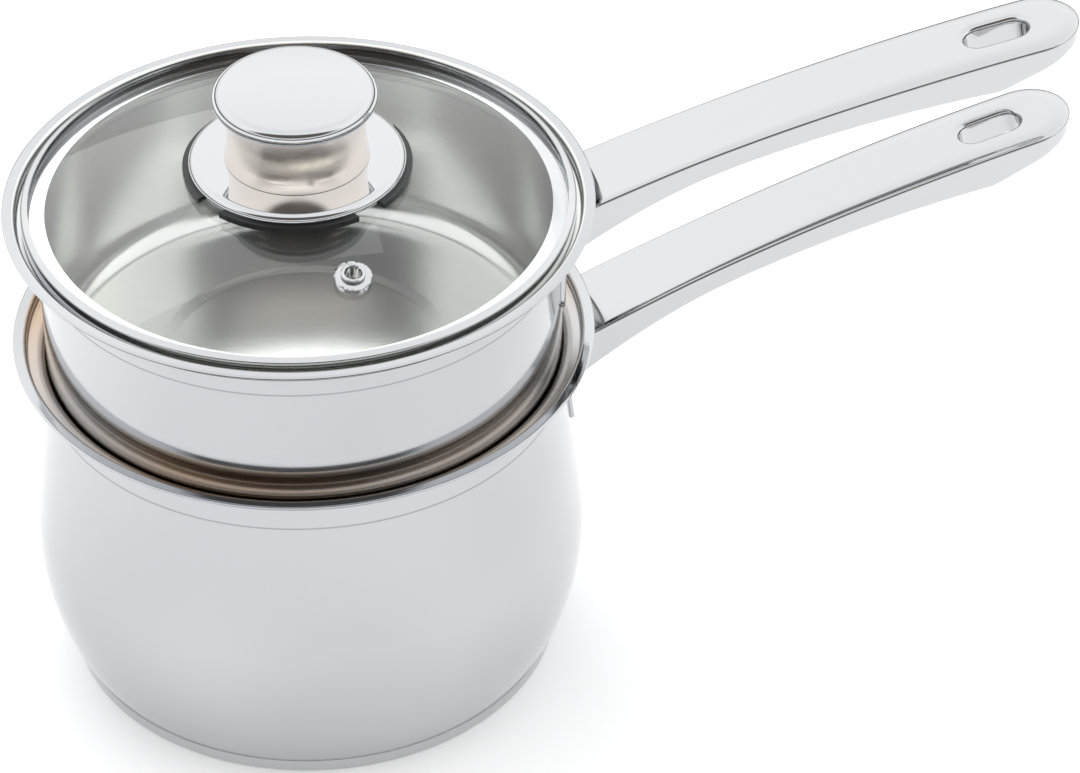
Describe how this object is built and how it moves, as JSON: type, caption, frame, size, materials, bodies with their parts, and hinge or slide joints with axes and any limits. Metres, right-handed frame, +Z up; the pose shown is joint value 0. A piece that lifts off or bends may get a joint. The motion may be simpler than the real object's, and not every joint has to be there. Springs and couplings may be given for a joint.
{
  "type": "double boiler",
  "caption": "Double boiler: a belly saucepan, an upper pan that seats in its mouth, a domed glass lid with a knob and vent, and hollow handles that can hang.",
  "frame": {"origin": "centre of the base's flat underside, on the pans' common axis", "axes": "+Z up along the pans' axis, +X along the lower pan's handle"},
  "size_m": [0.339, 0.18, 0.2052],
  "materials": {
    "satin_steel": "satin polished stainless sheet",
    "polished_steel": "mirror polished stainless sheet",
    "knob_neck_steel": "mirror polished stainless sheet, warm",
    "aluminium_core": "raw",
    "lid_glass": "clear tempered glass, slightly green",
    "black_plastic": "moulded heat-proof plastic",
    "gasket_rubber": "matte"
  },
  "bodies": {
    "pan": {"pan_shell": "satin_steel", "pan_base_core": "aluminium_core", "pan_base_cap": "polished_steel", "pan_handle": "polished_steel", "pan_handle_plate": "polished_steel", "pan_bracket": "satin_steel"},
    "insert": {"insert_shell": "satin_steel", "insert_handle": "polished_steel", "insert_handle_plate": "polished_steel", "insert_bracket": "satin_steel"},
    "lid": {"lid_glass": "lid_glass", "lid_band": "polished_steel", "vent_eyelet": "polished_steel", "vent_washer": "polished_steel", "knob_cap": "polished_steel", "knob_neck": "knob_neck_steel", "knob_plate": "polished_steel", "knob_spacer": "black_plastic", "knob_nut": "satin_steel", "knob_screw": "satin_steel", "knob_washer": "satin_steel", "knob_gasket": "gasket_rubber"}
  },
  "joints": [
    {"name": "insert_lift", "type": "slide", "parent": "pan", "child": "insert", "axis": [0, 0, 1], "range_m": [0, 0.06]},
    {"name": "lid_lift", "type": "slide", "parent": "insert", "child": "lid", "axis": [0, 0, 1], "range_m": [0, 0.06]}
  ]
}
